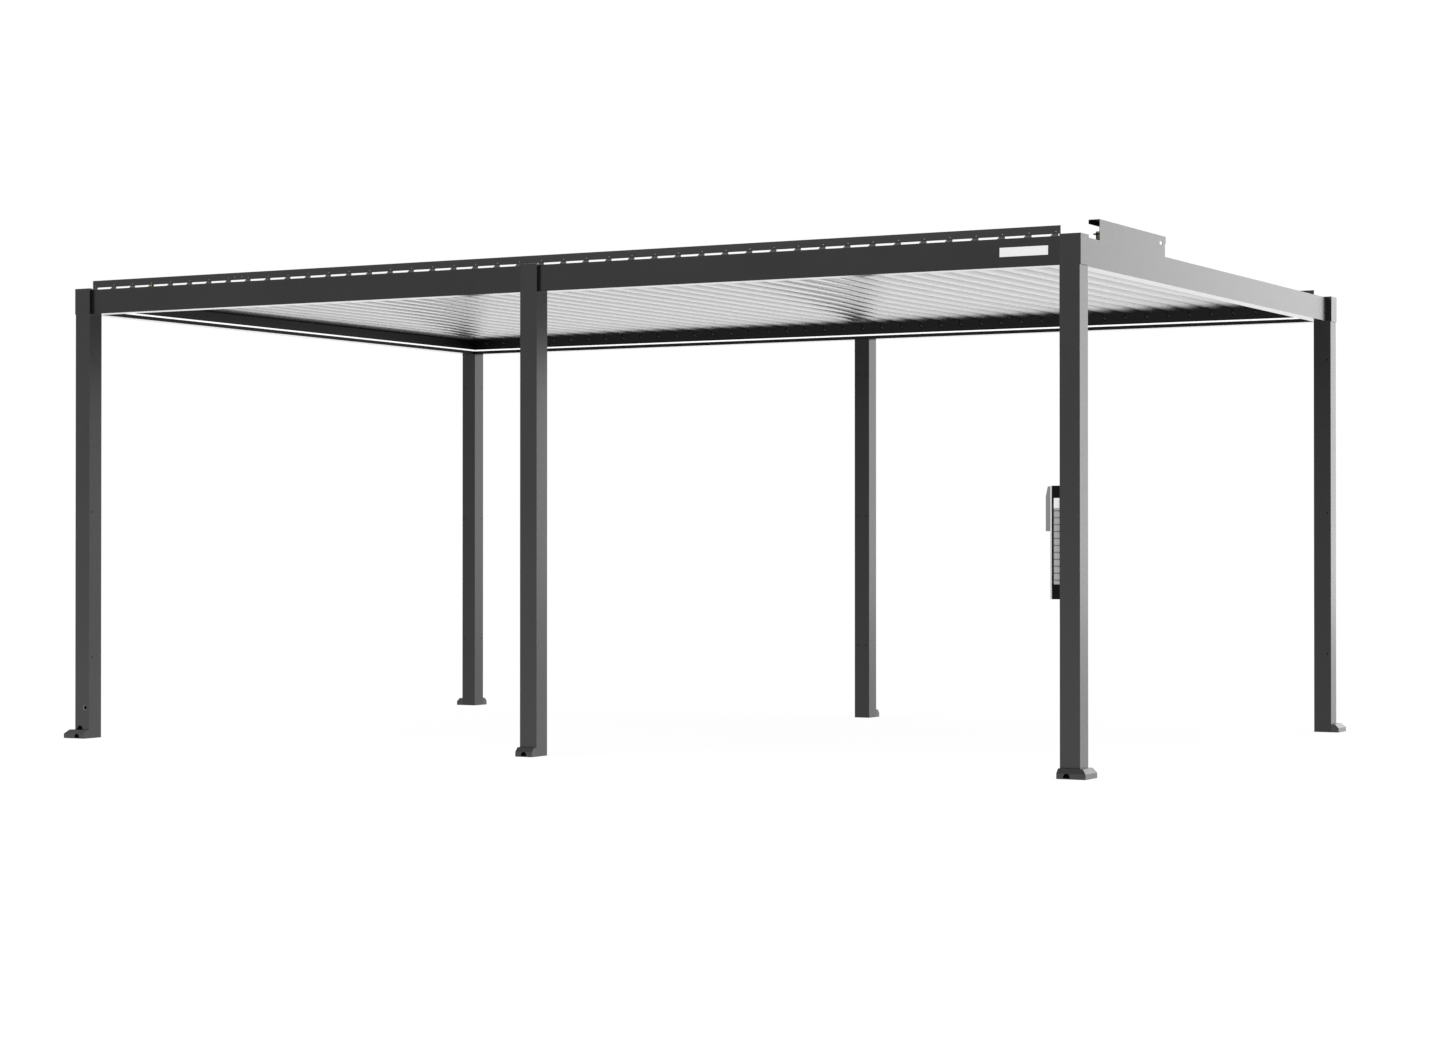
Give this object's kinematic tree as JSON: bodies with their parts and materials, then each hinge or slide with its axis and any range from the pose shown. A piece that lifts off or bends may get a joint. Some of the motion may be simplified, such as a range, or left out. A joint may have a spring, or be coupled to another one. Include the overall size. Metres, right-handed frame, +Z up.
{
  "type": "motorized louvred pergola",
  "caption": "Free-standing aluminium pergola with gutter beams on box posts and a roof of linked louvres turned by a motor.",
  "frame": {"origin": "on the floor at the centre of the plan", "axes": "+X along the long side to the right seen from the front, +Y towards the back, +Z up"},
  "size_m": [6.088, 4.038, 2.6],
  "materials": {
    "dark_coat": "fine matt dark grey powder coat",
    "foot_coat": "matt dark grey coated casting",
    "louvre_coat": "satin dark grey powder coat",
    "bar_coat": "matt dark grey powder coat",
    "light_white": "white light diffuser",
    "motor_black": "black moulded housing",
    "box_black": "fine grain black plastic",
    "lid_light": "light satin lid",
    "receiver_grey": "mid grey plastic",
    "panel_grey": "grey panel",
    "plate_white": "plain white plate"
  },
  "bodies": {
    "frame": {"front_posts": "dark_coat", "rear_posts": "dark_coat", "post_heads": "dark_coat", "foot_covers": "foot_coat", "front_beams": "dark_coat", "rear_beams": "dark_coat", "side_beams": "dark_coat", "light_strips": "light_white", "motor_cover": "dark_coat", "drive_motor": "motor_black", "control_box": "box_black", "control_lid": "lid_light", "receiver": "receiver_grey", "control_panel": "panel_grey", "blank_plate": "plate_white"},
    "louvre_01": {"louvre_01": "louvre_coat"},
    "louvre_02": {"louvre_02": "louvre_coat"},
    "louvre_03": {"louvre_03": "louvre_coat"},
    "louvre_04": {"louvre_04": "louvre_coat"},
    "louvre_05": {"louvre_05": "louvre_coat"},
    "louvre_06": {"louvre_06": "louvre_coat"},
    "louvre_07": {"louvre_07": "louvre_coat"},
    "louvre_08": {"louvre_08": "louvre_coat"},
    "louvre_09": {"louvre_09": "louvre_coat"},
    "louvre_10": {"louvre_10": "louvre_coat"},
    "louvre_11": {"louvre_11": "louvre_coat"},
    "louvre_12": {"louvre_12": "louvre_coat"},
    "louvre_13": {"louvre_13": "louvre_coat"},
    "louvre_14": {"louvre_14": "louvre_coat"},
    "louvre_15": {"louvre_15": "louvre_coat"},
    "louvre_16": {"louvre_16": "louvre_coat"},
    "louvre_17": {"louvre_17": "louvre_coat"},
    "louvre_18": {"louvre_18": "louvre_coat"},
    "louvre_19": {"louvre_19": "louvre_coat"},
    "louvre_20": {"louvre_20": "louvre_coat"},
    "louvre_21": {"louvre_21": "louvre_coat"},
    "louvre_22": {"louvre_22": "louvre_coat"},
    "louvre_23": {"louvre_23": "louvre_coat"},
    "louvre_24": {"louvre_24": "louvre_coat"},
    "louvre_25": {"louvre_25": "louvre_coat"},
    "louvre_26": {"louvre_26": "louvre_coat"},
    "louvre_27": {"louvre_27": "louvre_coat"},
    "louvre_28": {"louvre_28": "louvre_coat"},
    "louvre_29": {"louvre_29": "louvre_coat"},
    "louvre_30": {"louvre_30": "louvre_coat"},
    "louvre_31": {"louvre_31": "louvre_coat"},
    "louvre_32": {"louvre_32": "louvre_coat"},
    "louvre_33": {"louvre_33": "louvre_coat"},
    "louvre_34": {"louvre_34": "louvre_coat"},
    "louvre_35": {"louvre_35": "louvre_coat"},
    "louvre_36": {"louvre_36": "louvre_coat"},
    "louvre_37": {"louvre_37": "louvre_coat"},
    "louvre_38": {"louvre_38": "louvre_coat"},
    "louvre_39": {"louvre_39": "louvre_coat"},
    "louvre_40": {"louvre_40": "louvre_coat"},
    "louvre_41": {"louvre_41": "louvre_coat"},
    "louvre_42": {"louvre_42": "louvre_coat"},
    "louvre_43": {"louvre_43": "louvre_coat"},
    "louvre_44": {"louvre_44": "louvre_coat"},
    "link_bars": {"link_bars": "bar_coat"}
  },
  "joints": [
    {"name": "louvre_44_turn", "type": "hinge", "parent": "frame", "child": "louvre_44", "pos_m": [2.82, 0, 2.478], "axis": [0, -1, 0], "range_deg": [0, 90]},
    {"name": "louvre_01_turn", "type": "hinge", "parent": "frame", "child": "louvre_01", "pos_m": [-2.942, 0, 2.478], "axis": [0, -1, 0], "range_deg": [0, 90]},
    {"name": "louvre_02_turn", "type": "hinge", "parent": "frame", "child": "louvre_02", "pos_m": [-2.808, 0, 2.478], "axis": [0, -1, 0], "range_deg": [0, 90]},
    {"name": "louvre_03_turn", "type": "hinge", "parent": "frame", "child": "louvre_03", "pos_m": [-2.674, 0, 2.478], "axis": [0, -1, 0], "range_deg": [0, 90]},
    {"name": "louvre_04_turn", "type": "hinge", "parent": "frame", "child": "louvre_04", "pos_m": [-2.54, 0, 2.478], "axis": [0, -1, 0], "range_deg": [0, 90]},
    {"name": "louvre_05_turn", "type": "hinge", "parent": "frame", "child": "louvre_05", "pos_m": [-2.406, 0, 2.478], "axis": [0, -1, 0], "range_deg": [0, 90]},
    {"name": "louvre_06_turn", "type": "hinge", "parent": "frame", "child": "louvre_06", "pos_m": [-2.272, 0, 2.478], "axis": [0, -1, 0], "range_deg": [0, 90]},
    {"name": "louvre_07_turn", "type": "hinge", "parent": "frame", "child": "louvre_07", "pos_m": [-2.138, 0, 2.478], "axis": [0, -1, 0], "range_deg": [0, 90]},
    {"name": "louvre_08_turn", "type": "hinge", "parent": "frame", "child": "louvre_08", "pos_m": [-2.004, 0, 2.478], "axis": [0, -1, 0], "range_deg": [0, 90]},
    {"name": "louvre_09_turn", "type": "hinge", "parent": "frame", "child": "louvre_09", "pos_m": [-1.87, 0, 2.478], "axis": [0, -1, 0], "range_deg": [0, 90]},
    {"name": "louvre_10_turn", "type": "hinge", "parent": "frame", "child": "louvre_10", "pos_m": [-1.736, 0, 2.478], "axis": [0, -1, 0], "range_deg": [0, 90]},
    {"name": "louvre_11_turn", "type": "hinge", "parent": "frame", "child": "louvre_11", "pos_m": [-1.602, 0, 2.478], "axis": [0, -1, 0], "range_deg": [0, 90]},
    {"name": "louvre_12_turn", "type": "hinge", "parent": "frame", "child": "louvre_12", "pos_m": [-1.468, 0, 2.478], "axis": [0, -1, 0], "range_deg": [0, 90]},
    {"name": "louvre_13_turn", "type": "hinge", "parent": "frame", "child": "louvre_13", "pos_m": [-1.334, 0, 2.478], "axis": [0, -1, 0], "range_deg": [0, 90]},
    {"name": "louvre_14_turn", "type": "hinge", "parent": "frame", "child": "louvre_14", "pos_m": [-1.2, 0, 2.478], "axis": [0, -1, 0], "range_deg": [0, 90]},
    {"name": "louvre_15_turn", "type": "hinge", "parent": "frame", "child": "louvre_15", "pos_m": [-1.066, 0, 2.478], "axis": [0, -1, 0], "range_deg": [0, 90]},
    {"name": "louvre_16_turn", "type": "hinge", "parent": "frame", "child": "louvre_16", "pos_m": [-0.932, 0, 2.478], "axis": [0, -1, 0], "range_deg": [0, 90]},
    {"name": "louvre_17_turn", "type": "hinge", "parent": "frame", "child": "louvre_17", "pos_m": [-0.798, 0, 2.478], "axis": [0, -1, 0], "range_deg": [0, 90]},
    {"name": "louvre_18_turn", "type": "hinge", "parent": "frame", "child": "louvre_18", "pos_m": [-0.664, 0, 2.478], "axis": [0, -1, 0], "range_deg": [0, 90]},
    {"name": "louvre_19_turn", "type": "hinge", "parent": "frame", "child": "louvre_19", "pos_m": [-0.53, 0, 2.478], "axis": [0, -1, 0], "range_deg": [0, 90]},
    {"name": "louvre_20_turn", "type": "hinge", "parent": "frame", "child": "louvre_20", "pos_m": [-0.396, 0, 2.478], "axis": [0, -1, 0], "range_deg": [0, 90]},
    {"name": "louvre_21_turn", "type": "hinge", "parent": "frame", "child": "louvre_21", "pos_m": [-0.262, 0, 2.478], "axis": [0, -1, 0], "range_deg": [0, 90]},
    {"name": "louvre_22_turn", "type": "hinge", "parent": "frame", "child": "louvre_22", "pos_m": [-0.128, 0, 2.478], "axis": [0, -1, 0], "range_deg": [0, 90]},
    {"name": "louvre_23_turn", "type": "hinge", "parent": "frame", "child": "louvre_23", "pos_m": [0.006, 0, 2.478], "axis": [0, -1, 0], "range_deg": [0, 90]},
    {"name": "louvre_24_turn", "type": "hinge", "parent": "frame", "child": "louvre_24", "pos_m": [0.14, 0, 2.478], "axis": [0, -1, 0], "range_deg": [0, 90]},
    {"name": "louvre_25_turn", "type": "hinge", "parent": "frame", "child": "louvre_25", "pos_m": [0.274, 0, 2.478], "axis": [0, -1, 0], "range_deg": [0, 90]},
    {"name": "louvre_26_turn", "type": "hinge", "parent": "frame", "child": "louvre_26", "pos_m": [0.408, 0, 2.478], "axis": [0, -1, 0], "range_deg": [0, 90]},
    {"name": "louvre_27_turn", "type": "hinge", "parent": "frame", "child": "louvre_27", "pos_m": [0.542, 0, 2.478], "axis": [0, -1, 0], "range_deg": [0, 90]},
    {"name": "louvre_28_turn", "type": "hinge", "parent": "frame", "child": "louvre_28", "pos_m": [0.676, 0, 2.478], "axis": [0, -1, 0], "range_deg": [0, 90]},
    {"name": "louvre_29_turn", "type": "hinge", "parent": "frame", "child": "louvre_29", "pos_m": [0.81, 0, 2.478], "axis": [0, -1, 0], "range_deg": [0, 90]},
    {"name": "louvre_30_turn", "type": "hinge", "parent": "frame", "child": "louvre_30", "pos_m": [0.944, 0, 2.478], "axis": [0, -1, 0], "range_deg": [0, 90]},
    {"name": "louvre_31_turn", "type": "hinge", "parent": "frame", "child": "louvre_31", "pos_m": [1.078, 0, 2.478], "axis": [0, -1, 0], "range_deg": [0, 90]},
    {"name": "louvre_32_turn", "type": "hinge", "parent": "frame", "child": "louvre_32", "pos_m": [1.212, 0, 2.478], "axis": [0, -1, 0], "range_deg": [0, 90]},
    {"name": "louvre_33_turn", "type": "hinge", "parent": "frame", "child": "louvre_33", "pos_m": [1.346, 0, 2.478], "axis": [0, -1, 0], "range_deg": [0, 90]},
    {"name": "louvre_34_turn", "type": "hinge", "parent": "frame", "child": "louvre_34", "pos_m": [1.48, 0, 2.478], "axis": [0, -1, 0], "range_deg": [0, 90]},
    {"name": "louvre_35_turn", "type": "hinge", "parent": "frame", "child": "louvre_35", "pos_m": [1.614, 0, 2.478], "axis": [0, -1, 0], "range_deg": [0, 90]},
    {"name": "louvre_36_turn", "type": "hinge", "parent": "frame", "child": "louvre_36", "pos_m": [1.748, 0, 2.478], "axis": [0, -1, 0], "range_deg": [0, 90]},
    {"name": "louvre_37_turn", "type": "hinge", "parent": "frame", "child": "louvre_37", "pos_m": [1.882, 0, 2.478], "axis": [0, -1, 0], "range_deg": [0, 90]},
    {"name": "louvre_38_turn", "type": "hinge", "parent": "frame", "child": "louvre_38", "pos_m": [2.016, 0, 2.478], "axis": [0, -1, 0], "range_deg": [0, 90]},
    {"name": "louvre_39_turn", "type": "hinge", "parent": "frame", "child": "louvre_39", "pos_m": [2.15, 0, 2.478], "axis": [0, -1, 0], "range_deg": [0, 90]},
    {"name": "louvre_40_turn", "type": "hinge", "parent": "frame", "child": "louvre_40", "pos_m": [2.284, 0, 2.478], "axis": [0, -1, 0], "range_deg": [0, 90]},
    {"name": "louvre_41_turn", "type": "hinge", "parent": "frame", "child": "louvre_41", "pos_m": [2.418, 0, 2.478], "axis": [0, -1, 0], "range_deg": [0, 90]},
    {"name": "louvre_42_turn", "type": "hinge", "parent": "frame", "child": "louvre_42", "pos_m": [2.552, 0, 2.478], "axis": [0, -1, 0], "range_deg": [0, 90]},
    {"name": "louvre_43_turn", "type": "hinge", "parent": "frame", "child": "louvre_43", "pos_m": [2.686, 0, 2.478], "axis": [0, -1, 0], "range_deg": [0, 90]},
    {"name": "link_bar_swing", "type": "hinge", "parent": "louvre_44", "child": "link_bars", "pos_m": [2.865, 0, 2.523], "axis": [0, -1, 0], "range_deg": [-90, 0]}
  ],
  "couplings": [
    {"joint": "louvre_01_turn", "follows": "louvre_44_turn", "ratio": 1},
    {"joint": "louvre_02_turn", "follows": "louvre_44_turn", "ratio": 1},
    {"joint": "louvre_03_turn", "follows": "louvre_44_turn", "ratio": 1},
    {"joint": "louvre_04_turn", "follows": "louvre_44_turn", "ratio": 1},
    {"joint": "louvre_05_turn", "follows": "louvre_44_turn", "ratio": 1},
    {"joint": "louvre_06_turn", "follows": "louvre_44_turn", "ratio": 1},
    {"joint": "louvre_07_turn", "follows": "louvre_44_turn", "ratio": 1},
    {"joint": "louvre_08_turn", "follows": "louvre_44_turn", "ratio": 1},
    {"joint": "louvre_09_turn", "follows": "louvre_44_turn", "ratio": 1},
    {"joint": "louvre_10_turn", "follows": "louvre_44_turn", "ratio": 1},
    {"joint": "louvre_11_turn", "follows": "louvre_44_turn", "ratio": 1},
    {"joint": "louvre_12_turn", "follows": "louvre_44_turn", "ratio": 1},
    {"joint": "louvre_13_turn", "follows": "louvre_44_turn", "ratio": 1},
    {"joint": "louvre_14_turn", "follows": "louvre_44_turn", "ratio": 1},
    {"joint": "louvre_15_turn", "follows": "louvre_44_turn", "ratio": 1},
    {"joint": "louvre_16_turn", "follows": "louvre_44_turn", "ratio": 1},
    {"joint": "louvre_17_turn", "follows": "louvre_44_turn", "ratio": 1},
    {"joint": "louvre_18_turn", "follows": "louvre_44_turn", "ratio": 1},
    {"joint": "louvre_19_turn", "follows": "louvre_44_turn", "ratio": 1},
    {"joint": "louvre_20_turn", "follows": "louvre_44_turn", "ratio": 1},
    {"joint": "louvre_21_turn", "follows": "louvre_44_turn", "ratio": 1},
    {"joint": "louvre_22_turn", "follows": "louvre_44_turn", "ratio": 1},
    {"joint": "louvre_23_turn", "follows": "louvre_44_turn", "ratio": 1},
    {"joint": "louvre_24_turn", "follows": "louvre_44_turn", "ratio": 1},
    {"joint": "louvre_25_turn", "follows": "louvre_44_turn", "ratio": 1},
    {"joint": "louvre_26_turn", "follows": "louvre_44_turn", "ratio": 1},
    {"joint": "louvre_27_turn", "follows": "louvre_44_turn", "ratio": 1},
    {"joint": "louvre_28_turn", "follows": "louvre_44_turn", "ratio": 1},
    {"joint": "louvre_29_turn", "follows": "louvre_44_turn", "ratio": 1},
    {"joint": "louvre_30_turn", "follows": "louvre_44_turn", "ratio": 1},
    {"joint": "louvre_31_turn", "follows": "louvre_44_turn", "ratio": 1},
    {"joint": "louvre_32_turn", "follows": "louvre_44_turn", "ratio": 1},
    {"joint": "louvre_33_turn", "follows": "louvre_44_turn", "ratio": 1},
    {"joint": "louvre_34_turn", "follows": "louvre_44_turn", "ratio": 1},
    {"joint": "louvre_35_turn", "follows": "louvre_44_turn", "ratio": 1},
    {"joint": "louvre_36_turn", "follows": "louvre_44_turn", "ratio": 1},
    {"joint": "louvre_37_turn", "follows": "louvre_44_turn", "ratio": 1},
    {"joint": "louvre_38_turn", "follows": "louvre_44_turn", "ratio": 1},
    {"joint": "louvre_39_turn", "follows": "louvre_44_turn", "ratio": 1},
    {"joint": "louvre_40_turn", "follows": "louvre_44_turn", "ratio": 1},
    {"joint": "louvre_41_turn", "follows": "louvre_44_turn", "ratio": 1},
    {"joint": "louvre_42_turn", "follows": "louvre_44_turn", "ratio": 1},
    {"joint": "louvre_43_turn", "follows": "louvre_44_turn", "ratio": 1},
    {"joint": "link_bar_swing", "follows": "louvre_44_turn", "ratio": -1}
  ]
}
